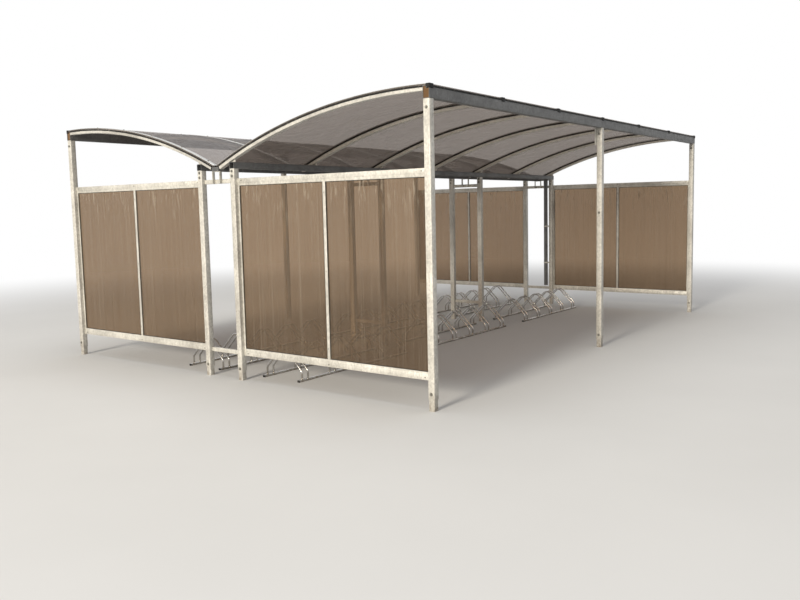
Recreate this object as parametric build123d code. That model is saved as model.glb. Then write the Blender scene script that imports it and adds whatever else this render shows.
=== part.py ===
from build123d import *
import math
import os

# Double bike shelter: two arched half roofs fall to a shared gutter, over square posts.
# X runs across, Y along the gutter, Z up. The origin is on the ground at the centre.

# Posts and their telescopic feet, in millimetres
post = 60
post_wall = 4
foot_fit = 0.3
foot_wall = 3
foot_show = 90
foot_overlap = 160

# Plan of the shelter
panel_width = 2100
module_count = 3
valley_gap = 390

# Beams and cross rails
outer_post_top = 2375
outer_beam_height = 95
inner_beam_height = 60
beam_wall = 4
rail_height = 40
rail_depth = 25
rail_wall = 2

# Arched roof
roof_radius = 5300
crest_inset = 135
rib_count = 7
rib_height = 40
rib_width = 50
rib_end_x = 48
layer_fit = 0.3
sheet_thick = 10
sheet_gap = 20
sheet_end_x = 20
cover_thick = 3
cover_tab = 30
saddle_thick = 8
saddle_inset = 10

# Gutter and its brackets
gutter_side_gap = 2
gutter_sheet_gap = 4
gutter_wall = 2
gutter_height = 40
bracket_leg = 6
bracket_depth = 30
bracket_plate = 4
bracket_rise = 69

# Downpipe beside the right back inner post
pipe_diameter = 60
pipe_wall = 2
pipe_fit = 0.3
pipe_post_gap = 5
pipe_end_inset = 40
pipe_bottom = 300
outlet_margin = 3
clip_heights = (660, 1230)
clip_tall = 20
clip_thick = 2
clip_lap = 30
clip_sides = 12

# End wall panels
panel_bottom = 233
glazing_thick = 10
bead_lip = 4
bead_tall = 25
bead_side = 20
glazing_fit = 0.3
mullion_width = 30
mullion_web = 4

# Plates that stiffen the middle outer posts
plate_width = 140
plate_thick = 6
plate_drop = 180
plate_rise = 40

# Bike racks
rack_places = 5
place_pitch = 375
hoop_spacing = 78
hoop_bar = 18
hoop_sides = 4
hoop_half_span = 225
hoop_peak = 325
hoop_shoulder = 95
hoop_peak_cut = 60
hoop_shoulder_cut = 20
rack_rail_width = 30
rack_rail_height = 20
rack_rail_wall = 2
rack_rail_overhang = 45
rack_post_gap = 45
rack_lead = 60
cap_thick = 4

# Places worked out from the sizes above
module = panel_width + post
length = module_count * module + post
inner_x = (valley_gap + post) / 2
outer_x = inner_x + module
outer_face = outer_x + post / 2
inner_face = outer_x - post / 2
front_y = -length / 2
foot = post - 2 * (post_wall + foot_fit)
foot_height = foot_show + foot_overlap
beam_top = outer_post_top + outer_beam_height
rib_pitch = (length - rib_width) / (rib_count - 1)
rail_offset = (post - rail_depth) / 2

sheet_in = roof_radius + layer_fit
sheet_out = sheet_in + sheet_thick
cover_in = sheet_out + layer_fit
cover_out = cover_in + cover_thick
cover_width = rib_width

arc_x = outer_x - crest_inset
arc_z = beam_top + layer_fit - math.sqrt(sheet_in**2 - (outer_face - arc_x) ** 2)


def arc_height(radius, x):
    """Height of a roof circle above the ground at one place across the shelter."""
    return arc_z + math.sqrt(radius**2 - (x - arc_x) ** 2)


inner_beam_top = arc_height(roof_radius - rib_height, inner_x - post / 2) - layer_fit
inner_post_top = inner_beam_top - inner_beam_height

sheet_low_angle = math.asin((arc_x - sheet_end_x) / sheet_out)
gutter_half_width = rib_end_x - gutter_side_gap
gutter_rim = arc_z + sheet_in * math.cos(sheet_low_angle) - gutter_sheet_gap
gutter_floor = gutter_rim - gutter_height
gutter_end = length / 2
panel_top = gutter_floor - bracket_plate - bracket_rise

pipe_radius = pipe_diameter / 2
pipe_x = inner_x - post / 2 - pipe_post_gap - pipe_radius
pipe_y = length / 2 - rib_width - pipe_end_inset
rail_reach = (place_pitch * (rack_places - 1) + hoop_spacing) / 2 + rack_rail_overhang


def box(x0, x1, y0, y1, z0, z1):
    """A block between two corners."""
    size = (x1 - x0, y1 - y0, z1 - z0)
    centre = ((x0 + x1) / 2, (y0 + y1) / 2, (z0 + z1) / 2)
    return Pos(*centre) * Box(*size)


def upright_tube(x, y, z0, z1, size, wall):
    """A square tube that stands on end."""
    half, bore = size / 2, size / 2 - wall
    outside = box(x - half, x + half, y - half, y + half, z0, z1)
    return outside - box(x - bore, x + bore, y - bore, y + bore, z0, z1)


def long_tube(x, y0, y1, z0, width, height, wall):
    """A rectangular tube that lies along the shelter."""
    half, bore = width / 2, width / 2 - wall
    outside = box(x - half, x + half, y0, y1, z0, z0 + height)
    return outside - box(x - bore, x + bore, y0, y1, z0 + wall, z0 + height - wall)


def cross_tube(x0, x1, y, z0, depth, height, wall):
    """A rectangular tube that lies across the shelter."""
    half, bore = depth / 2, depth / 2 - wall
    outside = box(x0, x1, y - half, y + half, z0, z0 + height)
    return outside - box(x0, x1, y - bore, y + bore, z0 + wall, z0 + height - wall)


def outer_post_places():
    """Front, middle and back places of the outer posts along the shelter."""
    reach = (length - post) / 2
    return [-reach, 0, reach]


def inner_post_places():
    """Places of the inner posts, one at each end of every module."""
    return [front_y + post / 2 + module * n for n in range(module_count + 1)]


def rib_places():
    """Places of the ribs along the shelter."""
    return [front_y + rib_width / 2 + rib_pitch * n for n in range(rib_count)]


def post_tubes(x, places, top):
    return [upright_tube(x, y, foot_show, top, post, post_wall) for y in places]


def foot_tubes(x, places):
    return [upright_tube(x, y, 0, foot_height, foot, foot_wall) for y in places]


def arc_band(inner, outer, end_x, stop_x, y, width):
    """A curved strip of the roof, cut square at its low end and upright at its high end."""
    low_angle = math.asin((arc_x - end_x) / outer)
    reach = 2 * outer
    wedge = [
        (arc_x, arc_z),
        (arc_x - reach * math.sin(low_angle), arc_z + reach * math.cos(low_angle)),
        (stop_x, arc_z + reach),
        (stop_x, arc_z),
    ]
    ring = Pos(arc_x, arc_z) * (Circle(outer) - Circle(inner))
    outline = ring & make_face(Polyline(*wedge, close=True))
    plane = Plane(origin=(0, y + width / 2, 0), x_dir=(1, 0, 0), z_dir=(0, -1, 0))
    return extrude(plane * outline, amount=width)


def roof_ribs():
    """Arched bars that butt the outer beams."""
    inside = roof_radius - rib_height
    return [arc_band(inside, roof_radius, rib_end_x, inner_face, y, rib_width) for y in rib_places()]


def roof_sheets():
    """One sheet per bay, the end ones flush with the ends of the shelter."""
    edges = [front_y] + rib_places()[1:-1] + [-front_y]
    sheets = []
    for n in range(rib_count - 1):
        start = edges[n] + (sheet_gap / 2 if n > 0 else 0)
        end = edges[n + 1] - (sheet_gap / 2 if n < rib_count - 2 else 0)
        middle = (start + end) / 2
        sheets.append(arc_band(sheet_in, sheet_out, sheet_end_x, outer_face, middle, end - start))
    return sheets


def cover_strip(y):
    """A flat strip over a sheet joint, bent down over the outer beam."""
    tab_x = outer_face + layer_fit
    strip = arc_band(cover_in, cover_out, sheet_end_x, tab_x + cover_thick, y, cover_width)
    top = arc_height(cover_in, tab_x + cover_thick)
    half = cover_width / 2
    return strip + box(tab_x, tab_x + cover_thick, y - half, y + half, top - cover_tab, top + cover_thick / 2)


def cover_strips():
    return [cover_strip(y) for y in rib_places()]


def rib_saddles():
    """Upright plates between the inner beam and the underside of each rib."""
    reach = roof_radius - rib_height - layer_fit
    low, high = inner_x - post / 2 + saddle_inset, inner_x + post / 2
    outline = Pos((low + high) / 2, inner_beam_top + rib_height) * Rectangle(high - low, 2 * rib_height)
    outline = outline & (Pos(arc_x, arc_z) * Circle(reach))
    saddles = []
    for y in rib_places():
        origin = (0, y + saddle_thick / 2, 0)
        plane = Plane(origin=origin, x_dir=(1, 0, 0), z_dir=(0, -1, 0))
        saddles.append(extrude(plane * outline, amount=saddle_thick))
    return saddles


def open_tray(x0, x1, y0, y1):
    """A sheet tray of the depth of the gutter, and the space inside it."""
    wall = gutter_wall
    outside = box(x0, x1, y0, y1, gutter_floor, gutter_rim)
    inside = box(x0 + wall, x1 - wall, y0 + wall, y1 - wall, gutter_floor + wall, gutter_rim)
    return outside, inside


def gutter():
    """A channel closed at both ends, with a side tray over the downpipe at its back end."""
    half = gutter_half_width
    reach = pipe_radius + outlet_margin
    channel, channel_space = open_tray(-half, half, -gutter_end, gutter_end)
    tray, tray_space = open_tray(0, pipe_x + reach, pipe_y - reach, pipe_y + reach)
    outlet = Pos(pipe_x, pipe_y, gutter_floor) * Cylinder(pipe_radius + pipe_fit, 4 * gutter_wall)
    return channel + tray - channel_space - tray_space - outlet


def downpipe():
    """A round pipe that hangs from the outlet of the gutter."""
    top = gutter_floor + gutter_wall
    tall = top - pipe_bottom
    tube = Cylinder(pipe_radius, tall) - Cylinder(pipe_radius - pipe_wall, tall)
    return Pos(pipe_x, pipe_y, pipe_bottom + tall / 2) * tube


def clip_disc(half_width, low, tall):
    """An upright many-sided prism round the downpipe; the width is measured across its flats."""
    outline = RegularPolygon(half_width, clip_sides, major_radius=False)
    return Pos(pipe_x, pipe_y, low) * extrude(outline, amount=tall)


def pipe_clip(z):
    """A band round the downpipe with a tail on the side of the post."""
    inner = pipe_radius + pipe_fit
    post_side = inner_x - post / 2
    post_front = inner_post_places()[-1] - post / 2
    low, high = z - clip_tall / 2, z + clip_tall / 2
    tail = box(pipe_x + inner, post_side, pipe_y, post_front + clip_lap, low, high)
    return clip_disc(inner + clip_thick, low, clip_tall) + tail - clip_disc(inner, low, clip_tall)


def rail_line(y):
    """Where the rails of a wall sit in the depth of its posts: flush with the side towards the back."""
    return y + rail_offset


def gutter_bracket(y):
    """A strap that holds the gutter up, its two legs on the front face of a cross rail."""
    far = rail_line(y) - rail_depth / 2
    near = far - bracket_depth
    half = gutter_half_width + bracket_leg
    plate_z = gutter_floor - bracket_plate
    strap = box(-half, half, near, far, plate_z, gutter_floor)
    for side in (-half, half - bracket_leg):
        strap += box(side, side + bracket_leg, near, far, panel_top - rail_height, plate_z)
    return strap


def cross_rails(z):
    half = valley_gap / 2
    places = [rail_line(y) for y in inner_post_places()]
    return [cross_tube(-half, half, y, z, rail_depth, rail_height, rail_wall) for y in places]


def panel_frame(y):
    """Top and bottom rails with the glazing channel that runs all round between the posts."""
    x0, x1 = inner_x + post / 2, inner_face
    low, high = panel_bottom + rail_height, panel_top - rail_height
    bottom = cross_tube(x0, x1, y, panel_bottom, rail_depth, rail_height, rail_wall)
    top = cross_tube(x0, x1, y, high, rail_depth, rail_height, rail_wall)
    half = glazing_thick / 2 + bead_lip
    ring = box(x0, x1, y - half, y + half, low, high)
    ring -= box(x0 + bead_side, x1 - bead_side, y - half, y + half, low + bead_tall, high - bead_tall)
    slot = glazing_thick / 2 + glazing_fit
    side = bead_side - bead_lip
    tall = bead_tall - bead_lip
    groove = box(x0 + bead_side - side, x1 - bead_side + side, y - slot, y + slot,
                 low + bead_tall - tall, high - bead_tall + tall)
    return bottom + top + (ring - groove)


def panel_sheets(y):
    """Two sheets side by side, held in the channel and in the mullion."""
    x0, x1 = inner_x + post / 2 + bead_lip + glazing_fit, inner_face - bead_lip - glazing_fit
    z0 = panel_bottom + rail_height + bead_lip + glazing_fit
    z1 = panel_top - rail_height - bead_lip - glazing_fit
    middle = (inner_x + outer_x) / 2
    reach = mullion_web / 2 + glazing_fit
    half = glazing_thick / 2
    spans = ((x0, middle - reach), (middle + reach, x1))
    return [box(a, b, y - half, y + half, z0, z1) for a, b in spans]


def mullion(y):
    """The H strip between the two sheets of a panel."""
    middle = (inner_x + outer_x) / 2
    z0 = panel_bottom + rail_height + bead_tall
    z1 = panel_top - rail_height - bead_tall
    half, slot = glazing_thick / 2 + bead_lip, glazing_thick / 2 + glazing_fit
    wide, web = mullion_width / 2, mullion_web / 2
    solid = box(middle - wide, middle + wide, y - half, y + half, z0, z1)
    for side in (-1, 1):
        edge = sorted((side * web, side * wide))
        solid -= box(middle + edge[0], middle + edge[1], y - slot, y + slot, z0, z1)
    return solid


def stiffener_plate():
    """A plate on the inside of a middle outer post, lapped onto the beam."""
    half = plate_width / 2
    return box(inner_face - plate_thick, inner_face, -half, half,
               outer_post_top - plate_drop, outer_post_top + plate_rise)


def cut_corner(before, corner, after, cut):
    """Two points that stand in for a rounded corner, one on each side of it."""
    return [corner + (end - corner).normalized() * cut for end in (before, after)]


def hoop():
    """One bent bar of a rack, from rail to rail over its peak, with few faces because it repeats."""
    foot_left, foot_right = (Vector(side * hoop_half_span, 0, rack_rail_height) for side in (-1, 1))
    shoulder_left, shoulder_right = (Vector(side * hoop_half_span, 0, hoop_shoulder) for side in (-1, 1))
    peak = Vector(0, 0, hoop_peak)
    route = [foot_left]
    route += cut_corner(foot_left, shoulder_left, peak, hoop_shoulder_cut)
    route += cut_corner(shoulder_left, peak, shoulder_right, hoop_peak_cut)
    route += cut_corner(peak, shoulder_right, foot_right, hoop_shoulder_cut)
    route += [foot_right]
    start = Plane(origin=foot_left, x_dir=(1, 0, 0), z_dir=(0, 0, 1))
    section = start * RegularPolygon(hoop_bar / 2, hoop_sides)
    return sweep(section, path=Polyline(*route), transition=Transition.RIGHT)


def rack_centre_x():
    """The rack stands against the inner posts."""
    return inner_x + post / 2 + rack_post_gap + rack_rail_width / 2 + hoop_half_span


def rack_hoops(y):
    """The pairs of bars of one rack, a pair for each bike."""
    bar = hoop()
    first = y - place_pitch * (rack_places - 1) / 2
    hoops = []
    for place in range(rack_places):
        for side in (-1, 1):
            offset = first + place_pitch * place + side * hoop_spacing / 2
            hoops.append(Pos(rack_centre_x(), offset, 0) * bar)
    return hoops


def rack_rail_lines():
    """The two lines across the shelter where the rails of a rack lie."""
    return [rack_centre_x() - hoop_half_span, rack_centre_x() + hoop_half_span]


def rack_rails(y):
    """The two ground rails of one rack."""
    size = (rack_rail_width, rack_rail_height, rack_rail_wall)
    return [long_tube(x, y - rail_reach, y + rail_reach, 0, *size) for x in rack_rail_lines()]


def rack_end_caps(y):
    """Plates that close the ends of the rails."""
    half = rack_rail_width / 2
    caps = []
    for x in rack_rail_lines():
        for side in (-1, 1):
            end = y + side * rail_reach
            faces = sorted((end, end + side * cap_thick))
            caps.append(box(x - half, x + half, *faces, 0, rack_rail_height))
    return caps


def rack_middles():
    """The middle of each rack along the shelter, a little nearer the front than its module."""
    return [front_y + post / 2 + module * (n + 0.5) - rack_lead for n in range(module_count)]


def mirrored(solids):
    return [mirror(solid, about=Plane.YZ) for solid in solids]


def save(name, solids):
    node = Compound(label=name, children=list(solids))
    export_step(node, f"parts/{name}.step")


def save_both(name, solids):
    """Save a group of solids of the right half and its mirror image for the left half."""
    save(f"{name}_right", solids)
    save(f"{name}_left", mirrored(solids))


def save_posts():
    save_both("outer_posts", post_tubes(outer_x, outer_post_places(), outer_post_top))
    save_both("inner_posts", post_tubes(inner_x, inner_post_places(), inner_post_top))
    save_both("outer_feet", foot_tubes(outer_x, outer_post_places()))
    save_both("inner_feet", foot_tubes(inner_x, inner_post_places()))
    save_both("post_plate", [stiffener_plate()])


def save_beams():
    save_both("outer_beam", [long_tube(outer_x, front_y, -front_y, outer_post_top, post,
                                       outer_beam_height, beam_wall)])
    save_both("inner_beam", [long_tube(inner_x, front_y, -front_y, inner_post_top, post,
                                       inner_beam_height, beam_wall)])
    save("cross_rails_top", cross_rails(panel_top - rail_height))
    save("cross_rails_bottom", cross_rails(panel_bottom))


def save_roof():
    save_both("roof_ribs", roof_ribs())
    save_both("roof_sheets", roof_sheets())
    save_both("cover_strips", cover_strips())
    save_both("rib_saddles", rib_saddles())
    save("gutter", [gutter()])
    save("gutter_brackets", [gutter_bracket(y) for y in inner_post_places()])
    save("downpipe", [downpipe()])
    save("downpipe_clips", [pipe_clip(z) for z in clip_heights])


def save_panels():
    for label, y in (("front", inner_post_places()[0]), ("back", inner_post_places()[-1])):
        line = rail_line(y)
        save_both(f"panel_frame_{label}", [panel_frame(line)])
        save_both(f"panel_sheets_{label}", panel_sheets(line))
        save(f"panel_mullions_{label}", [mullion(line)] + mirrored([mullion(line)]))


def save_racks():
    rails, hoops, caps = [], [], []
    for y in rack_middles():
        rails += rack_rails(y)
        hoops += rack_hoops(y)
        caps += rack_end_caps(y)
    save_both("rack_rails", rails)
    save_both("rack_hoops", hoops)
    save_both("rack_end_caps", caps)


def main():
    os.makedirs("parts", exist_ok=True)
    save_posts()
    save_beams()
    save_roof()
    save_panels()
    save_racks()


main()
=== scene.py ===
import math

import bmesh
import bpy
from mathutils import Matrix, Vector


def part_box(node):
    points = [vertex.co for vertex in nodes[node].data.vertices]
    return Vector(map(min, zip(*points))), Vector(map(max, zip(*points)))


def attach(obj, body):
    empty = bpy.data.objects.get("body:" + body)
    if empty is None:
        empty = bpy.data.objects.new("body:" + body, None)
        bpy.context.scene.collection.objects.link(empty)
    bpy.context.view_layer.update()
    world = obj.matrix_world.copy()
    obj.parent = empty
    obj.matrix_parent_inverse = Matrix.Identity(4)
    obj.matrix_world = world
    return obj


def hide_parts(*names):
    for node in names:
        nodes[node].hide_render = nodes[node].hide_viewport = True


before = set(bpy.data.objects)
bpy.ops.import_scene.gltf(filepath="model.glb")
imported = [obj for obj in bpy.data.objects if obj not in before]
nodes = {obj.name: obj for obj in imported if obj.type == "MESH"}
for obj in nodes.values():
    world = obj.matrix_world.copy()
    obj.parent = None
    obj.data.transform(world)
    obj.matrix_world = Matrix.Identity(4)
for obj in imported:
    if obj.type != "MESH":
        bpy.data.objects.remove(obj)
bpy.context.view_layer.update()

# The looks of a double bike shelter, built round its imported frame. All lengths are in metres.
# X runs across, Y along the gutter from front to back, Z up.

# Camera, solved from the photograph
camera_place = Vector((5.7971, -8.1873, 1.5754))
camera_yaw = 0.6328
camera_pitch = 0.1008
camera_roll = -0.0206
sensor_width = 36.0
focal_pixels = 792.25
picture_width = 800
centre_right_pixels = 8.74
centre_down_pixels = -12.90

# Roof arches, as in the frame
roof_radius = 5.300
crest_inset = 0.135
layer_fit = 0.0003
arch_steps = 56
rib_half_tall = 0.020
rib_end_slant = 0.008
strip_outer_radius = roof_radius + 0.0136
cap_reach = 0.036
cap_skin = 0.002
cap_tall = 0.034
strip_screw_places = (0.121, 0.50, 0.95, 1.407, 1.869)
strip_screw_scale = 1.5

# Tube corners and walls
corner_steps = 4
post_corner = 0.007
rail_corner = 0.004
post_wall = 0.004
foot_wall = 0.003
rail_wall = 0.002
rib_wall = 0.003
rib_corner = 0.005
rack_rail_corner = 0.003
end_plate_inset = 0.004
end_plate_thick = 0.003

# Widths of the rounded edges of flat pieces
frame_edge = 0.0012
bracket_edge = 0.001
small_edge = 0.0008
strip_edge = 0.0006
sheet_edge = 0.0005
cap_edge = 0.003

# Rubber strips and small fittings
gasket_tall = 0.014
gasket_wide = 0.006
gasket_corner = 0.0015
edge_seal_gap = 0.0002
edge_seal_stand = 0.003
edge_seal_drop = 0.012
edge_seal_rise = 0.0025
glazing_seal = 0.004
seal_stand = 0.003
bead_cover = 0.016
rail_bead_cover = 0.021
mullion_cover = 0.0137
middle_margin = 0.01
bolt_flats = 0.017
bolt_head = 0.0075
washer_radius = 0.0135
washer_thick = 0.002
screw_radius = 0.006
screw_dome = 0.004

# Places of bolts and screws, from the ends of what they hold
nut_scale = 0.9
outer_bolt_drop = 0.063
outer_bolt_rise = 0.045
middle_bolt_height = 1.473
inner_bolt_drops = (0.022, 0.066)
inner_bolt_rise = 0.020
plate_bolt_inset = 0.022
beam_bolt_rise = 0.020
plate_bolt_rises = (0.03, 0.11)
mullion_screw_shares = (0.06, 0.5, 0.94)
rail_screw_inset = 0.05
rail_screw_edge = 0.02

# Downpipe
pipe_sides = 40
pipe_wall = 0.002
collar_drop = 0.012
collar_tall = 0.050
collar_skin = 0.0025

# Rack bars
leg_angle = 45.6
shoulder_height = 0.095
bar_radius = 0.009
bar_sides = 14
bend_steps = 7
peak_bend = 0.080
shoulder_bend = 0.045
weld_radius = 0.0032
weld_swell = 0.25
weld_lobes = 5

# Surfaces
flute_pitch = 0.011
splash_height = 0.16
pale_marks_low = 1.40
pale_marks_high = 1.80
zinc_bloom = (0.66, 0.66, 0.63)
ground_dirt = (0.23, 0.19, 0.145)
# A grey-blue layer on faces that look up: partly dust, partly painted sky reflection.
roof_dust_and_painted_sky = (0.31, 0.325, 0.36)
dust_colour = (0.38, 0.36, 0.32)

# Studio; a light is its place, its aim, its size, its power and its colour
floor_radius = 60
floor_drop = 0.0005
floor_grey = 0.74
fade_start = 5.0
fade_end = 14.0
ambient = 0.28
key_light = ((4.0, -36.0, 10.0), (0, -1, 1.2), 8.0, 13100, (1.0, 0.92, 0.78))
top_light = ((0, -1.0, 14.0), (0, 0, 0), 12.0, 950, (1.0, 0.99, 0.97))
fill_light = ((12.0, -5.0, 5.0), (0, 0, 1.0), 6.0, 20, (0.93, 0.96, 1.0))

half_sides = {"right": 1, "left": -1}


# Reading the frame

def solids(node):
    """The corners of each separate solid of a CAD node, front to back and then left to right."""
    bm = bmesh.new()
    bm.from_mesh(nodes[node].data)
    bmesh.ops.remove_doubles(bm, verts=bm.verts, dist=1e-5)
    waiting = set(bm.verts)
    boxes = []
    while waiting:
        group = [waiting.pop()]
        for vert in group:
            for edge in vert.link_edges:
                other = edge.other_vert(vert)
                if other in waiting:
                    waiting.remove(other)
                    group.append(other)
        low = Vector([min(v.co[axis] for v in group) for axis in range(3)])
        high = Vector([max(v.co[axis] for v in group) for axis in range(3)])
        boxes.append((low, high))
    bm.free()
    return sorted(boxes, key=lambda box: (round(box[0].y, 3), round(box[0].x, 3)))


beam_low, beam_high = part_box("outer_beam_right")
arc_x = (beam_low.x + beam_high.x) / 2 - crest_inset
sheet_radius = roof_radius + layer_fit
arc_z = beam_high.z + layer_fit - math.sqrt(sheet_radius ** 2 - (beam_high.x - arc_x) ** 2)


def roof_point(side, radius, angle, y):
    """A point on the arch of one half, with the angle measured from its crest towards the gutter."""
    return Vector((side * (arc_x - radius * math.sin(angle)), y, arc_z + radius * math.cos(angle)))


def roof_angle(radius, x):
    """The angle at which an arch stands over one distance from the middle."""
    return math.asin((arc_x - x) / radius)


# Mesh helpers

def finish_piece(bm, name, material, replaced=(), sharp=0.6):
    """Turn a bmesh into a piece that rides on the frame."""
    bmesh.ops.recalc_face_normals(bm, faces=bm.faces)
    for face in bm.faces:
        face.smooth = True
    for edge in bm.edges:
        edge.smooth = len(edge.link_faces) == 2 and edge.calc_face_angle(0) < sharp
    mesh = bpy.data.meshes.new(name)
    bm.to_mesh(mesh)
    bm.free()
    piece = bpy.data.objects.new(name, mesh)
    bpy.context.scene.collection.objects.link(piece)
    mesh.materials.append(material)
    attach(piece, "root")
    if replaced:
        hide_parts(*replaced)
    return piece


def rounded_outline(half_a, half_b, radius):
    """Points round a rectangle with rounded corners."""
    points = []
    for quarter in range(4):
        turn = quarter * math.pi / 2
        sign_a = 1 if quarter in (0, 3) else -1
        sign_b = 1 if quarter in (0, 1) else -1
        for step in range(corner_steps + 1):
            angle = turn + step * math.pi / 2 / corner_steps
            points.append((sign_a * (half_a - radius) + radius * math.cos(angle),
                           sign_b * (half_b - radius) + radius * math.sin(angle)))
    return points


def round_outline(radius, sides):
    """Points round a circle."""
    turns = [2 * math.pi * n / sides for n in range(sides)]
    return [(radius * math.cos(turn), radius * math.sin(turn)) for turn in turns]


def add_ring(bm, station, outline):
    """One ring of vertices; a station is a place and its two cross directions."""
    origin, across, up = station
    return [bm.verts.new(origin + across * a + up * b) for a, b in outline]


def bridge(bm, first, second):
    """Faces between two rings of vertices."""
    count = len(first)
    for n in range(count):
        bm.faces.new((first[n], first[(n + 1) % count], second[(n + 1) % count], second[n]))


def add_bar(bm, stations, outline):
    """A solid bar through a line of stations."""
    rings = [add_ring(bm, station, outline) for station in stations]
    for first, second in zip(rings, rings[1:]):
        bridge(bm, first, second)
    bm.faces.new(rings[0])
    bm.faces.new(rings[-1])


def add_tube(bm, stations, outline, bore):
    """A hollow bar, open at both ends."""
    outside = [add_ring(bm, station, outline) for station in stations]
    inside = [add_ring(bm, station, bore) for station in stations]
    for rings in (outside, inside):
        for first, second in zip(rings, rings[1:]):
            bridge(bm, first, second)
    bridge(bm, outside[0], inside[0])
    bridge(bm, outside[-1], inside[-1])


def box_stations(low, high, axis):
    """The two ends of a straight bar that fills a box along one axis, and its half sizes."""
    a, b = [n for n in range(3) if n != axis]
    across, up = Vector((0, 0, 0)), Vector((0, 0, 0))
    across[a], up[b] = 1, 1
    start = (low + high) / 2
    end = start.copy()
    start[axis], end[axis] = low[axis], high[axis]
    size = high - low
    return [(start, across, up), (end, across, up)], size[a] / 2, size[b] / 2


def add_square_tube(bm, low, high, axis, wall, corner):
    """A rolled tube that fills a box of the frame."""
    stations, half_a, half_b = box_stations(low, high, axis)
    outline = rounded_outline(half_a, half_b, corner)
    bore = rounded_outline(half_a - wall, half_b - wall, max(corner - wall, 0.001))
    add_tube(bm, stations, outline, bore)


def add_block(bm, low, high, edge):
    """A block with its edges rounded off."""
    made = bmesh.ops.create_cube(bm, size=1)
    size, centre = Vector(high) - Vector(low), (Vector(high) + Vector(low)) / 2
    for vert in made["verts"]:
        vert.co = Vector([vert.co[n] * size[n] + centre[n] for n in range(3)])
    edges = list({e for v in made["verts"] for e in v.link_edges})
    bmesh.ops.bevel(bm, geom=edges, offset=edge, segments=2, affect="EDGES", profile=0.5)


def softened(node, material, edge):
    """The same piece as a CAD node, with its sharp edges rounded as on bent and cut metal."""
    bm = bmesh.new()
    bm.from_mesh(nodes[node].data)
    bmesh.ops.remove_doubles(bm, verts=bm.verts, dist=1e-5)
    bmesh.ops.dissolve_limit(bm, angle_limit=0.01, verts=bm.verts, edges=bm.edges)
    sharp = [e for e in bm.edges if len(e.link_faces) == 2 and e.calc_face_angle(0) > 0.6]
    bmesh.ops.bevel(bm, geom=sharp, offset=edge, segments=2, affect="EDGES", profile=0.5,
                    clamp_overlap=True)
    return finish_piece(bm, f"{node}_finished", material, (node,))


def around(normal):
    """Two directions square to a normal and to each other."""
    normal = normal.normalized()
    helper = Vector((0, 0, 1)) if abs(normal.z) < 0.9 else Vector((0, 1, 0))
    across = helper.cross(normal).normalized()
    return across, normal.cross(across)


def add_turned(bm, origin, normal, profile, sides):
    """A turned form from a line of (radius, height) pairs along its normal."""
    across, up = around(normal)
    rings = []
    for radius, height in profile:
        rings.append(add_ring(bm, (origin + normal * height, across, up), round_outline(radius, sides)))
    for first, second in zip(rings, rings[1:]):
        bridge(bm, first, second)
    bm.faces.new(rings[0])
    bm.faces.new(rings[-1])


def add_bolt(bm, origin, normal, scale=1.0):
    """A hexagon head with a chamfer, on a washer."""
    washer = washer_radius * scale
    add_turned(bm, origin, normal, [(washer, 0), (washer, washer_thick)], 24)
    head = bolt_flats * scale / math.sqrt(3)
    low, high = washer_thick, washer_thick + bolt_head * scale
    add_turned(bm, origin, normal, [(head, low), (head, high - head * 0.12), (head * 0.87, high)], 6)


def add_screw(bm, origin, normal, scale=1.0):
    """A domed screw head."""
    radius, dome = screw_radius * scale, screw_dome * scale
    rim = 0.0008
    profile = [(radius, 0)]
    for step in (0, 0.45, 0.8, 0.97):
        profile.append((radius * math.sqrt(1 - (step * 0.95) ** 2), rim + dome * step))
    add_turned(bm, origin, normal, profile, 14)


# Materials

def new_material(name):
    material = bpy.data.materials.new(name)
    material.use_nodes = True
    return material, material.node_tree, material.node_tree.nodes["Principled BSDF"]


def add_node(tree, kind, **settings):
    node = tree.nodes.new(kind)
    for key, value in settings.items():
        if key in node.inputs:
            node.inputs[key].default_value = value
        else:
            setattr(node, key, value)
    return node


def placed(tree, scale):
    """Object coordinates, stretched."""
    coordinates = add_node(tree, "ShaderNodeTexCoord")
    mapping = add_node(tree, "ShaderNodeMapping", Scale=scale)
    tree.links.new(coordinates.outputs["Object"], mapping.inputs["Vector"])
    return mapping.outputs["Vector"]


def noise(tree, scale, detail=4.0, stretch=(1, 1, 1), roughness=0.55):
    texture = add_node(tree, "ShaderNodeTexNoise", Scale=scale, Detail=detail, Roughness=roughness)
    tree.links.new(placed(tree, stretch), texture.inputs["Vector"])
    return texture.outputs["Fac"]


def ramp(tree, factor, stops):
    """A colour ramp from (place, colour) pairs; a plain number stands for a grey."""
    node = add_node(tree, "ShaderNodeValToRGB")
    elements = node.color_ramp.elements
    while len(elements) < len(stops):
        elements.new(0.5)
    for element, (place, colour) in zip(elements, stops):
        grey = isinstance(colour, (int, float))
        element.position = place
        element.color = (colour, colour, colour, 1) if grey else (*colour, 1)
    tree.links.new(factor, node.inputs["Fac"])
    return node.outputs["Color"]


def mixed(tree, mode, first, second, factor):
    """Two colours put together; the factor is a number or an output."""
    node = add_node(tree, "ShaderNodeMix", data_type="RGBA", blend_type=mode)
    socket = node.inputs[0]
    if isinstance(factor, (int, float)):
        socket.default_value = factor
    else:
        tree.links.new(factor, socket)
    for source, target in ((first, node.inputs[6]), (second, node.inputs[7])):
        if isinstance(source, tuple):
            target.default_value = (*source, 1)
        else:
            tree.links.new(source, target)
    return node.outputs[2]


def height_mask(tree, low, high):
    """A mask that rises from nothing at one height to full at another."""
    coordinates = add_node(tree, "ShaderNodeTexCoord")
    split = add_node(tree, "ShaderNodeSeparateXYZ")
    tree.links.new(coordinates.outputs["Object"], split.inputs["Vector"])
    rise = add_node(tree, "ShaderNodeMapRange")
    rise.inputs["From Min"].default_value = low
    rise.inputs["From Max"].default_value = high
    tree.links.new(split.outputs["Z"], rise.inputs["Value"])
    return rise.outputs["Result"]


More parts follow.
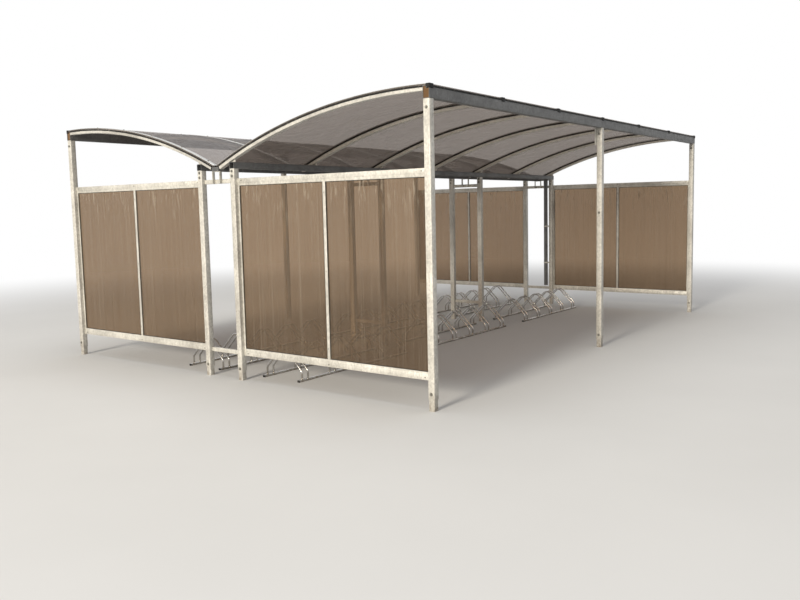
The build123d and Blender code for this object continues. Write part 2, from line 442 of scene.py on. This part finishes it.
def ground_splash(tree, height):
    """A mask that is strongest at the ground and gone above a height."""
    blotch = ramp(tree, noise(tree, 22, 5), [(0.35, 0.0), (0.7, 1.0)])
    return mixed(tree, "MULTIPLY", blotch, height_mask(tree, height, 0.0), 1.0)


def bump(tree, height, strength, distance):
    node = add_node(tree, "ShaderNodeBump", Strength=strength, Distance=distance)
    tree.links.new(height, node.inputs["Height"])
    return node.outputs["Normal"]


def galvanised_material(name, dark, light, metallic, rough, spangle, streak_along,
                        bloom_grey=zinc_bloom):
    """Hot-dip zinc: crystal spangle, cloudy patches, faint runs and splashed dirt near the ground."""
    material, tree, shader = new_material(name)
    crystals = add_node(tree, "ShaderNodeTexVoronoi", Scale=70.0)
    tree.links.new(placed(tree, (1, 1, 0.8)), crystals.inputs["Vector"])
    crystal_grey = ramp(tree, crystals.outputs["Color"], [(0.2, 1 - spangle), (0.8, 1.0)])
    clouds = ramp(tree, noise(tree, 3.2, 7), [(0.30, dark), (0.62, light)])
    zinc = mixed(tree, "MULTIPLY", clouds, crystal_grey, 1.0)
    runs = ramp(tree, noise(tree, 1.0, 5, streak_along), [(0.35, 0.86), (0.6, 1.0)])
    zinc = mixed(tree, "MULTIPLY", zinc, runs, 0.8)
    bloom = ramp(tree, noise(tree, 11, 8, roughness=0.7), [(0.60, 0.0), (0.74, 1.0)])
    zinc = mixed(tree, "MIX", zinc, bloom_grey, bloom)
    tree.links.new(mixed(tree, "MIX", zinc, ground_dirt, ground_splash(tree, splash_height)),
                   shader.inputs["Base Color"])
    shader.inputs["Metallic"].default_value = metallic
    tree.links.new(ramp(tree, noise(tree, 17, 6), [(0.3, rough - 0.1), (0.7, rough + 0.12)]),
                   shader.inputs["Roughness"])
    tree.links.new(bump(tree, noise(tree, 160, 3), 0.18, 0.0012), shader.inputs["Normal"])
    return material


def upward(tree):
    """A mask of the faces that look up, where dust settles and where a painted sky reflection is laid.
    """
    geometry = add_node(tree, "ShaderNodeNewGeometry")
    split = add_node(tree, "ShaderNodeSeparateXYZ")
    tree.links.new(geometry.outputs["True Normal"], split.inputs["Vector"])
    return ramp(tree, split.outputs["Z"], [(0.45, 0.0), (0.75, 1.0)])


def pale_upper_marks(tree):
    """Short pale marks in the upper part of a wall sheet."""
    marks = ramp(tree, noise(tree, 1.0, 4, (34, 34, 5)), [(0.56, 0.0), (0.66, 0.75)])
    return mixed(tree, "MULTIPLY", marks, height_mask(tree, pale_marks_low, pale_marks_high), 1.0)


def sheet_material(name, dark, light, glow, line, flutes_across, streak_along,
                   clear, rough, shine, dust_and_sky_amount):
    """Twin-wall sheet that tints what shows through it, with webs and long streaks as paler lines."""
    material, tree, shader = new_material(name)
    wave = add_node(tree, "ShaderNodeTexWave", wave_type="BANDS", bands_direction=flutes_across)
    wave.inputs["Scale"].default_value = math.pi / 10 / flute_pitch
    coordinates = add_node(tree, "ShaderNodeTexCoord")
    tree.links.new(coordinates.outputs["Object"], wave.inputs["Vector"])
    webs = ramp(tree, wave.outputs["Fac"], [(0.55, 0.0), (1.0, 0.38)])
    streaks = ramp(tree, noise(tree, 1.0, 6, streak_along, 0.7), [(0.45, 0.0), (0.72, 0.46)])
    lines = mixed(tree, "ADD", webs, streaks, 1.0)
    if flutes_across == "X":
        lines = mixed(tree, "ADD", lines, pale_upper_marks(tree), 1.0)
    tint = ramp(tree, noise(tree, 0.9, 4), [(0.3, dark), (0.7, light)])
    tint = mixed(tree, "MIX", tint, line, lines)
    # On faces that look up, a grey-blue layer: partly dust, partly painted sky reflection.
    sky_sheen_and_dust = ramp(tree, noise(tree, 3.0, 5, roughness=0.5), [(0.35, 0.6 * dust_and_sky_amount), (0.75, dust_and_sky_amount)])
    sky_sheen_and_dust = mixed(tree, "MULTIPLY", sky_sheen_and_dust, upward(tree), 1.0)
    tree.links.new(mixed(tree, "MIX", tint, roof_dust_and_painted_sky, sky_sheen_and_dust), shader.inputs["Base Color"])
    tree.links.new(ramp(tree, noise(tree, 9, 6), [(0.3, rough), (0.7, rough + 0.14)]),
                   shader.inputs["Roughness"])
    shader.inputs["IOR"].default_value = 1.58
    shader.inputs["Specular IOR Level"].default_value = shine
    tree.links.new(bump(tree, wave.outputs["Fac"], 0.25, 0.0006), shader.inputs["Normal"])
    window = add_node(tree, "ShaderNodeBsdfTransparent", Color=(*glow, 1))
    mix = add_node(tree, "ShaderNodeMixShader")
    tree.links.new(ramp(tree, lines, [(0.0, 1 - clear), (1.0, 1 - clear * 0.5)]), mix.inputs["Fac"])
    tree.links.new(window.outputs["BSDF"], mix.inputs[1])
    tree.links.new(shader.outputs["BSDF"], mix.inputs[2])
    tree.links.new(mix.outputs["Shader"], tree.nodes["Material Output"].inputs["Surface"])
    return material


def plain_material(name, dark, light, rough, metallic=0.0, grain=60.0, depth=0.0006, shine=0.5):
    """Painted metal, plastic or rubber with worn and dusty patches."""
    material, tree, shader = new_material(name)
    clouds = ramp(tree, noise(tree, 6.5, 7), [(0.32, dark), (0.7, light)])
    dust = ramp(tree, noise(tree, 34, 6), [(0.58, 0.0), (0.78, 0.35)])
    tree.links.new(mixed(tree, "MIX", clouds, dust_colour, dust), shader.inputs["Base Color"])
    tree.links.new(ramp(tree, noise(tree, 21, 5), [(0.3, rough - 0.08), (0.7, rough + 0.1)]),
                   shader.inputs["Roughness"])
    shader.inputs["Metallic"].default_value = metallic
    shader.inputs["Specular IOR Level"].default_value = shine
    tree.links.new(bump(tree, noise(tree, grain, 3), 0.2, depth), shader.inputs["Normal"])
    return material


steel = galvanised_material("galvanised_steel", (0.52, 0.50, 0.455), (0.72, 0.70, 0.645),
                            metallic=0.2, rough=0.48, spangle=0.22, streak_along=(26, 26, 1.3))
# The beams are much darker than the posts: partly painted shade, as they stand in shade, and partly a
# darker zinc of their own.
beam_steel_and_painted_shade = galvanised_material("galvanised_beam_and_painted_shade", (0.105, 0.107, 0.108), (0.17, 0.172, 0.172),
                                 metallic=0.1, rough=0.5, spangle=0.22, streak_along=(26, 1.3, 26),
                                 bloom_grey=(0.20, 0.202, 0.20))
roof_steel = galvanised_material("galvanised_roof_bars", (0.48, 0.465, 0.43), (0.67, 0.655, 0.61),
                                 metallic=0.2, rough=0.5, spangle=0.20, streak_along=(1.3, 26, 26))
rack_steel = galvanised_material("rack_steel", (0.40, 0.39, 0.37), (0.62, 0.61, 0.59),
                                 metallic=0.95, rough=0.22, spangle=0.10, streak_along=(8, 8, 8))
fixings = galvanised_material("zinc_fixings", (0.17, 0.165, 0.145), (0.30, 0.29, 0.26),
                              metallic=0.6, rough=0.4, spangle=0.05, streak_along=(9, 9, 9),
                              bloom_grey=(0.36, 0.35, 0.32))
# The strips are darker than bare aluminium: painted shade.
aluminium = plain_material("aluminium_strip", (0.42, 0.42, 0.41), (0.56, 0.56, 0.55), 0.40, metallic=0.8)
gutter_paint = plain_material("gutter_sheet", (0.050, 0.052, 0.055), (0.11, 0.11, 0.112), 0.55)
pipe_plastic = plain_material("pipe_plastic", (0.075, 0.075, 0.08), (0.13, 0.13, 0.132), 0.42)
rubber = plain_material("black_rubber", (0.010, 0.010, 0.010), (0.024, 0.024, 0.024), 0.62, shine=0.15)
# Brown of the beam end plates: partly rust, partly painted light from inside the open tubes.
rust_and_inside_light = plain_material("beam_end_rust_and_painted_light", (0.125, 0.070, 0.033), (0.19, 0.112, 0.058), 0.80, shine=0.2)
roof_plastic = sheet_material("roof_polycarbonate", (0.22, 0.192, 0.174), (0.26, 0.230, 0.210),
                              glow=(0.80, 0.76, 0.73), line=(0.29, 0.262, 0.243),
                              flutes_across="Y", streak_along=(0.5, 45, 45),
                              clear=0.58, rough=0.50, shine=0.18, dust_and_sky_amount=0.60)
wall_plastic = sheet_material("wall_polycarbonate", (0.085, 0.061, 0.040), (0.140, 0.103, 0.068),
                              glow=(0.66, 0.545, 0.435), line=(0.37, 0.315, 0.25),
                              flutes_across="X", streak_along=(120, 120, 0.45),
                              clear=0.72, rough=0.10, shine=0.5, dust_and_sky_amount=0.0)


def dress(material, *names):
    """Give a material to CAD nodes that stay as they are."""
    for name in names:
        slots = nodes[name].material_slots
        if not slots:
            nodes[name].data.materials.append(material)
        for each in slots:
            each.material = material


# Frame tubes

def tube_piece(name, parts, material=None):
    """One piece from the solids of several nodes; each part is (node, axis, wall, corner)."""
    bm = bmesh.new()
    for node, axis, wall, corner in parts:
        for low, high in solids(node):
            add_square_tube(bm, low, high, axis, wall, corner)
    return finish_piece(bm, name, material or steel, [part[0] for part in parts])


def build_frame():
    for side in half_sides:
        tube_piece(f"outer_post_tubes_{side}", [(f"outer_posts_{side}", 2, post_wall, post_corner)])
        tube_piece(f"inner_post_tubes_{side}", [(f"inner_posts_{side}", 2, post_wall, post_corner)])
        tube_piece(f"foot_tubes_{side}", [(f"outer_feet_{side}", 2, foot_wall, rail_corner),
                                          (f"inner_feet_{side}", 2, foot_wall, rail_corner)])
        # The beams take the darker zinc, which holds painted shade.
        tube_piece(f"beam_tubes_{side}", [(f"outer_beam_{side}", 1, post_wall, post_corner),
                                          (f"inner_beam_{side}", 1, post_wall, post_corner)],
                   material=beam_steel_and_painted_shade)
        softened(f"post_plate_{side}", steel, frame_edge)
        softened(f"rib_saddles_{side}", roof_steel, small_edge)
    tube_piece("cross_rail_tubes", [("cross_rails_top", 0, rail_wall, rail_corner),
                                    ("cross_rails_bottom", 0, rail_wall, rail_corner)])


def build_beam_ends():
    """Brown plates just inside the open ends of the outer beams: partly rust, partly painted light and
    painted reflection of the ground as seen inside the open tubes.
    """
    bm = bmesh.new()
    for side in half_sides:
        low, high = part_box(f"outer_beam_{side}")
        for start in (low.y + end_plate_inset, high.y - end_plate_inset - end_plate_thick):
            plate_low = (low.x + post_wall, start, low.z + post_wall)
            plate_high = (high.x - post_wall, start + end_plate_thick, high.z - post_wall)
            add_block(bm, plate_low, plate_high, sheet_edge)
    finish_piece(bm, "beam_end_plates", rust_and_inside_light)


# Roof

def arch_stations(side, radius, high_x, low_x, y, steps=arch_steps):
    """Stations down one arch from its high end to its low end."""
    start, end = roof_angle(radius, high_x), roof_angle(radius, low_x)
    stations = []
    for n in range(steps + 1):
        angle = start + (end - start) * n / steps
        up = Vector((-side * math.sin(angle), 0, math.cos(angle)))
        stations.append((roof_point(side, radius, angle, y), Vector((0, 1, 0)), up))
    return stations


def rib_boxes(side):
    return solids(f"roof_ribs_{side}")


def build_ribs(side):
    """Rolled tubes bent to the arch, with the rubber strips that the sheets lie on."""
    sign = half_sides[side]
    tubes, seals = bmesh.new(), bmesh.new()
    for low, high in rib_boxes(side):
        y = (low.y + high.y) / 2
        near, far = sorted((abs(low.x), abs(high.x)))
        half_wide = (high.y - low.y) / 2
        middle = roof_radius - rib_half_tall
        outline = rounded_outline(half_wide, rib_half_tall, rib_corner)
        bore = rounded_outline(half_wide - rib_wall, rib_half_tall - rib_wall, rib_corner - rib_wall)
        add_tube(tubes, arch_stations(sign, middle, far, near + rib_end_slant, y), outline, bore)
        for edge in (-1, 1):
            offset = edge * (half_wide + gasket_wide / 2)
            radius = roof_radius - gasket_tall / 2 + layer_fit
            line = arch_stations(sign, radius, far, near, y + offset)
            add_bar(seals, line, rounded_outline(gasket_wide / 2, gasket_tall / 2, gasket_corner))
    finish_piece(tubes, f"rib_tubes_{side}", roof_steel, (f"roof_ribs_{side}",))
    finish_piece(seals, f"rib_seals_{side}", rubber)


def build_strip_fittings(side):
    """Black caps on the outer ends of the cover strips, and the screws along them."""
    sign = half_sides[side]
    caps, screws = bmesh.new(), bmesh.new()
    for low, high in solids(f"cover_strips_{side}"):
        y = (low.y + high.y) / 2
        half = (high.y - low.y) / 2
        outer = max(abs(low.x), abs(high.x))
        top = strip_outer_radius
        crest = roof_point(sign, top, roof_angle(top, outer), y).z
        xs = sorted((sign * (outer - cap_reach), sign * (outer + cap_skin)))
        cap_low = (xs[0], y - half - cap_skin, crest - cap_tall)
        cap_high = (xs[1], y + half + cap_skin, crest + cap_skin)
        add_block(caps, cap_low, cap_high, cap_edge)
        for x in strip_screw_places:
            angle = roof_angle(top, x)
            normal = Vector((-sign * math.sin(angle), 0, math.cos(angle)))
            add_screw(screws, roof_point(sign, top, angle, y), normal, strip_screw_scale)
    finish_piece(caps, f"strip_end_caps_{side}", rubber)
    finish_piece(screws, f"strip_screws_{side}", fixings)


def build_edge_seals(side):
    """A thin black line between the outer beam and the edge of the sheets."""
    low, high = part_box(f"outer_beam_{side}")
    sign = half_sides[side]
    outer = max(abs(low.x), abs(high.x))
    bm = bmesh.new()
    xs = sorted((sign * (outer + edge_seal_gap), sign * (outer + edge_seal_stand)))
    seal_low = (xs[0], low.y, high.z - edge_seal_drop)
    seal_high = (xs[1], high.y, high.z + edge_seal_rise)
    add_block(bm, seal_low, seal_high, small_edge)
    finish_piece(bm, f"edge_seal_{side}", rubber)


def build_roof():
    for side in half_sides:
        build_ribs(side)
        build_strip_fittings(side)
        build_edge_seals(side)
        softened(f"cover_strips_{side}", aluminium, strip_edge)
    dress(roof_plastic, "roof_sheets_right", "roof_sheets_left")
    softened("gutter", gutter_paint, sheet_edge)
    softened("gutter_brackets", steel, bracket_edge)
    softened("downpipe_clips", steel, sheet_edge)


def build_downpipe():
    """A smooth pipe that hangs from the gutter outlet, with a collar just below it."""
    low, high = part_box("downpipe")
    radius = (high.x - low.x) / 2
    collar_top = high.z - collar_drop
    bm = bmesh.new()
    add_pipe(bm, low, high, low.z, high.z, radius, radius - pipe_wall)
    add_pipe(bm, low, high, collar_top - collar_tall, collar_top,
             radius + collar_skin, radius + layer_fit)
    finish_piece(bm, "downpipe_tube", pipe_plastic, ("downpipe",))


def add_pipe(bm, low, high, bottom, top, outer, inner):
    """An upright pipe round the middle of a box."""
    middle = (low + high) / 2
    across, along = Vector((1, 0, 0)), Vector((0, 1, 0))
    stations = [(Vector((middle.x, middle.y, z)), across, along) for z in (bottom, top)]
    add_tube(bm, stations, round_outline(outer, pipe_sides), round_outline(inner, pipe_sides))


# End panels

def build_panels():
    for end in ("front", "back"):
        seals, screws = bmesh.new(), bmesh.new()
        for side in half_sides:
            softened(f"panel_frame_{end}_{side}", steel, frame_edge)
            add_panel_seals(seals, f"panel_sheets_{end}_{side}")
            add_panel_screws(screws, end, side)
        softened(f"panel_mullions_{end}", steel, small_edge)
        finish_piece(seals, f"glazing_seals_{end}", rubber)
        finish_piece(screws, f"panel_screws_{end}", fixings)
        dress(wall_plastic, f"panel_sheets_{end}_right", f"panel_sheets_{end}_left")


def add_panel_seals(bm, node):
    """Rubber beads round the visible edge of each sheet, on both faces."""
    panel_low, panel_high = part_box(node)
    panel_middle = (panel_low.x + panel_high.x) / 2
    for low, high in solids(node):
        left = mullion_cover if low.x > panel_middle - middle_margin else bead_cover
        right = mullion_cover if high.x < panel_middle + middle_margin else bead_cover
        for face, out in ((low.y, -1), (high.y, 1)):
            y0, y1 = sorted((face + out * layer_fit, face + out * seal_stand))
            add_seal_ring(bm, (low.x + left, y0, low.z + rail_bead_cover),
                          (high.x - right, y1, high.z - rail_bead_cover))


def add_seal_ring(bm, low, high):
    """Four beads along the inside of an upright rectangle."""
    (x0, y0, z0), (x1, y1, z1) = low, high
    for start, end in (((x0, z0), (x0 + glazing_seal, z1)),
                       ((x1 - glazing_seal, z0), (x1, z1)),
                       ((x0 + glazing_seal, z0), (x1 - glazing_seal, z0 + glazing_seal)),
                       ((x0 + glazing_seal, z1 - glazing_seal), (x1 - glazing_seal, z1))):
        add_block(bm, (start[0], y0, start[1]), (end[0], y1, end[1]), small_edge)


def add_panel_screws(bm, end, side):
    """Screws along the mullion and near the ends of the rails."""
    low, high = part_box(f"panel_frame_{end}_{side}")
    bar_low, bar_high = solids(f"panel_mullions_{end}")[1 if side == "right" else 0]
    middle = (bar_low.x + bar_high.x) / 2
    for face, normal in ((bar_low.y, Vector((0, -1, 0))), (bar_high.y, Vector((0, 1, 0)))):
        for share in mullion_screw_shares:
            z = bar_low.z + (bar_high.z - bar_low.z) * share
            add_screw(bm, Vector((middle, face, z)), normal)
    for face, normal in ((low.y, Vector((0, -1, 0))), (high.y, Vector((0, 1, 0)))):
        for x in (low.x + rail_screw_inset, middle, high.x - rail_screw_inset):
            for z in (low.z + rail_screw_edge, high.z - rail_screw_edge):
                add_screw(bm, Vector((x, face, z)), normal)


# Bolts

def build_bolts():
    bm = bmesh.new()
    for side, sign in half_sides.items():
        posts = solids(f"outer_posts_{side}")
        for low, high in posts:
            add_post_bolts(bm, low, high, (high.z - outer_bolt_drop, low.z + outer_bolt_rise))
        add_post_bolts(bm, *posts[len(posts) // 2], (middle_bolt_height,))
        for low, high in solids(f"inner_posts_{side}"):
            add_post_bolts(bm, low, high, [high.z - drop for drop in inner_bolt_drops])
            add_post_bolts(bm, low, high, (low.z + inner_bolt_rise,))
        add_plate_bolts(bm, side, sign)
    finish_piece(bm, "frame_bolts", fixings)


def add_post_bolts(bm, low, high, heights):
    """A bolt through the post from front to back, with a head on one face and a nut on the other."""
    x = (low.x + high.x) / 2
    for z in heights:
        add_bolt(bm, Vector((x, low.y, z)), Vector((0, -1, 0)))
        add_bolt(bm, Vector((x, high.y, z)), Vector((0, 1, 0)), nut_scale)


def add_plate_bolts(bm, side, sign):
    """Nuts of the bolts that hold a post plate to its beam and its post."""
    low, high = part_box(f"post_plate_{side}")
    beam_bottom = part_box(f"outer_beam_{side}")[0].z
    face = low.x if sign > 0 else high.x
    for y in (low.y + plate_bolt_inset, high.y - plate_bolt_inset):
        add_bolt(bm, Vector((face, y, beam_bottom + beam_bolt_rise)), Vector((-sign, 0, 0)), nut_scale)
    for rise in plate_bolt_rises:
        place = Vector((face, (low.y + high.y) / 2, low.z + rise))
        add_bolt(bm, place, Vector((-sign, 0, 0)), nut_scale)


# Racks

def rounded_route(points, radii):
    """A route with its corners rounded by arcs; each corner has its own bend radius."""
    route = [points[0]]
    for before, corner, after, radius in zip(points, points[1:], points[2:], radii):
        first = (before - corner).normalized()
        second = (after - corner).normalized()
        half = first.angle(second) / 2
        centre = corner + (first + second).normalized() * radius / math.sin(half)
        start = corner + first * radius / math.tan(half) - centre
        turn = math.pi - 2 * half
        axis = start.cross(corner + second * radius / math.tan(half) - centre).normalized()
        for step in range(bend_steps + 1):
            route.append(centre + Matrix.Rotation(turn * step / bend_steps, 3, axis) @ start)
    route.append(points[-1])
    return route


def route_stations(route, sideways):
    """Stations along a flat route, mitred at every point."""
    stations = []
    for n, place in enumerate(route):
        back = (place - route[n - 1]).normalized() if n else (route[1] - place).normalized()
        ahead = (route[n + 1] - place).normalized() if n < len(route) - 1 else back
        along = (back + ahead).normalized()
        stations.append((place, sideways, along.cross(sideways)))
    return stations


def add_rack_bar(bm, centre_x, y, foot_z, reach, shoulder, peak):
    """One round bar, bent up from a rail, over its peak and down to the other rail."""
    points = [Vector((centre_x + x, y, z)) for x, z in
              ((-reach, foot_z), (-reach, shoulder), (0, peak), (reach, shoulder), (reach, foot_z))]
    route = rounded_route(points, (shoulder_bend, peak_bend, shoulder_bend))
    add_bar(bm, route_stations(route, Vector((0, 1, 0))), round_outline(bar_radius, bar_sides))


def add_weld(bm, place):
    """A bead of weld round the foot of a bar."""
    sides, ring = 14, 6
    rings = []
    for n in range(sides):
        turn = 2 * math.pi * n / sides
        out = Vector((math.cos(turn), math.sin(turn), 0))
        swell = weld_radius * (1 + weld_swell * math.sin(weld_lobes * turn))
        outline = round_outline(swell, ring)
        rings.append(add_ring(bm, (place + out * bar_radius, out, Vector((0, 0, 1))), outline))
    for first, second in zip(rings, rings[1:] + rings[:1]):
        bridge(bm, first, second)


def build_racks(side):
    """Round bars bent over two ground rails, with a weld at each foot."""
    bars, welds = bmesh.new(), bmesh.new()
    rail_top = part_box(f"rack_rails_{side}")[1].z
    peak_rise = peak_bend * (1 / math.cos(math.radians(leg_angle)) - 1)
    for low, high in solids(f"rack_hoops_{side}"):
        centre_x, y = (low.x + high.x) / 2, (low.y + high.y) / 2
        reach = (high.x - low.x) / 2 - bar_radius
        peak = high.z - bar_radius + peak_rise
        add_rack_bar(bars, centre_x, y, rail_top, reach, shoulder_height, peak)
        for side_x in (-reach, reach):
            add_weld(welds, Vector((centre_x + side_x, y, rail_top)))
    finish_piece(bars, f"rack_bars_{side}", rack_steel, (f"rack_hoops_{side}",),
                 sharp=1.0)
    finish_piece(welds, f"rack_welds_{side}", rack_steel, sharp=2.0)
    tube_piece(f"rack_rail_tubes_{side}", [(f"rack_rails_{side}", 1, rail_wall, rack_rail_corner)],
               rack_steel)
    softened(f"rack_end_caps_{side}", rubber, frame_edge)


# Studio

def build_floor():
    """A wide pale floor that fades into the white background."""
    bm = bmesh.new()
    bmesh.ops.create_circle(bm, cap_ends=True, radius=floor_radius, segments=96)
    mesh = bpy.data.meshes.new("floor")
    bm.to_mesh(mesh)
    bm.free()
    floor = bpy.data.objects.new("floor", mesh)
    bpy.context.scene.collection.objects.link(floor)
    floor.location.z = -floor_drop
    mesh.materials.append(floor_material())


def seen_rays(tree):
    """One for camera, glossy and transmission rays, so that a white shown to them adds no light."""
    path = add_node(tree, "ShaderNodeLightPath")
    total = path.outputs["Is Camera Ray"]
    for name in ("Is Glossy Ray", "Is Transmission Ray"):
        either = add_node(tree, "ShaderNodeMath", operation="MAXIMUM")
        tree.links.new(total, either.inputs[0])
        tree.links.new(path.outputs[name], either.inputs[1])
        total = either.outputs["Value"]
    return total


def floor_material():
    material, tree, shader = new_material("studio_floor")
    shader.inputs["Roughness"].default_value = 0.9
    shader.inputs["Specular IOR Level"].default_value = 0.1
    greys = [(0.3, floor_grey - 0.01), (0.7, floor_grey + 0.01)]
    tree.links.new(ramp(tree, noise(tree, 0.8, 3), greys), shader.inputs["Base Color"])
    glow = add_node(tree, "ShaderNodeEmission", Color=(1, 1, 1, 1), Strength=1.0)
    distance = add_node(tree, "ShaderNodeVectorMath", operation="LENGTH")
    coordinates = add_node(tree, "ShaderNodeTexCoord")
    tree.links.new(coordinates.outputs["Object"], distance.inputs[0])
    fade = add_node(tree, "ShaderNodeMapRange", interpolation_type="SMOOTHSTEP")
    fade.inputs["From Min"].default_value = fade_start
    fade.inputs["From Max"].default_value = fade_end
    tree.links.new(distance.outputs["Value"], fade.inputs["Value"])
    share = add_node(tree, "ShaderNodeMath", operation="MULTIPLY")
    tree.links.new(fade.outputs["Result"], share.inputs[0])
    tree.links.new(seen_rays(tree), share.inputs[1])
    mix = add_node(tree, "ShaderNodeMixShader")
    tree.links.new(share.outputs["Value"], mix.inputs["Fac"])
    tree.links.new(shader.outputs["BSDF"], mix.inputs[1])
    tree.links.new(glow.outputs["Emission"], mix.inputs[2])
    tree.links.new(mix.outputs["Shader"], tree.nodes["Material Output"].inputs["Surface"])
    return material


def build_world():
    world = bpy.data.worlds.new("studio")
    bpy.context.scene.world = world
    world.use_nodes = True
    tree = world.node_tree
    light = tree.nodes["Background"]
    light.inputs["Color"].default_value = (1.0, 1.0, 1.0, 1)
    light.inputs["Strength"].default_value = ambient
    white = add_node(tree, "ShaderNodeBackground", Color=(1, 1, 1, 1), Strength=1.0)
    mix = add_node(tree, "ShaderNodeMixShader")
    tree.links.new(seen_rays(tree), mix.inputs["Fac"])
    tree.links.new(light.outputs["Background"], mix.inputs[1])
    tree.links.new(white.outputs["Background"], mix.inputs[2])
    tree.links.new(mix.outputs["Shader"], tree.nodes["World Output"].inputs["Surface"])


def area_light(name, place, target, size, power, colour):
    data = bpy.data.lights.new(name, "AREA")
    data.shape = "DISK"
    data.size = size
    data.energy = power
    data.color = colour
    light = bpy.data.objects.new(name, data)
    light.location = place
    light.rotation_euler = (Vector(target) - Vector(place)).to_track_quat("-Z", "Y").to_euler()
    bpy.context.scene.collection.objects.link(light)


def build_lights():
    """A low warm key from the front as in the photo, a soft top light and a weak cool fill."""
    area_light("key", *key_light)
    area_light("top", *top_light)
    area_light("fill", *fill_light)


def build_camera():
    data = bpy.data.cameras.new("photo_view")
    data.sensor_width = sensor_width
    data.lens = focal_pixels * sensor_width / picture_width
    data.shift_x = -centre_right_pixels / picture_width
    data.shift_y = centre_down_pixels / picture_width
    data.clip_end = 200
    ahead = Vector((-math.sin(camera_yaw) * math.cos(camera_pitch),
                    math.cos(camera_yaw) * math.cos(camera_pitch), -math.sin(camera_pitch)))
    level = Vector((math.cos(camera_yaw), math.sin(camera_yaw), 0))
    above = level.cross(ahead)
    right = math.cos(camera_roll) * level + math.sin(camera_roll) * above
    up = -math.sin(camera_roll) * level + math.cos(camera_roll) * above
    camera = bpy.data.objects.new("photo_view", data)
    turned = Matrix((right, up, -ahead)).transposed().to_4x4()
    camera.matrix_world = Matrix.Translation(camera_place) @ turned
    bpy.context.scene.collection.objects.link(camera)
    bpy.context.scene.camera = camera


def main():
    build_frame()
    build_beam_ends()
    build_roof()
    build_downpipe()
    build_panels()
    build_bolts()
    for side in half_sides:
        build_racks(side)
    build_floor()
    build_world()
    build_lights()
    build_camera()
    bpy.context.scene.view_settings.view_transform = "Standard"


main()
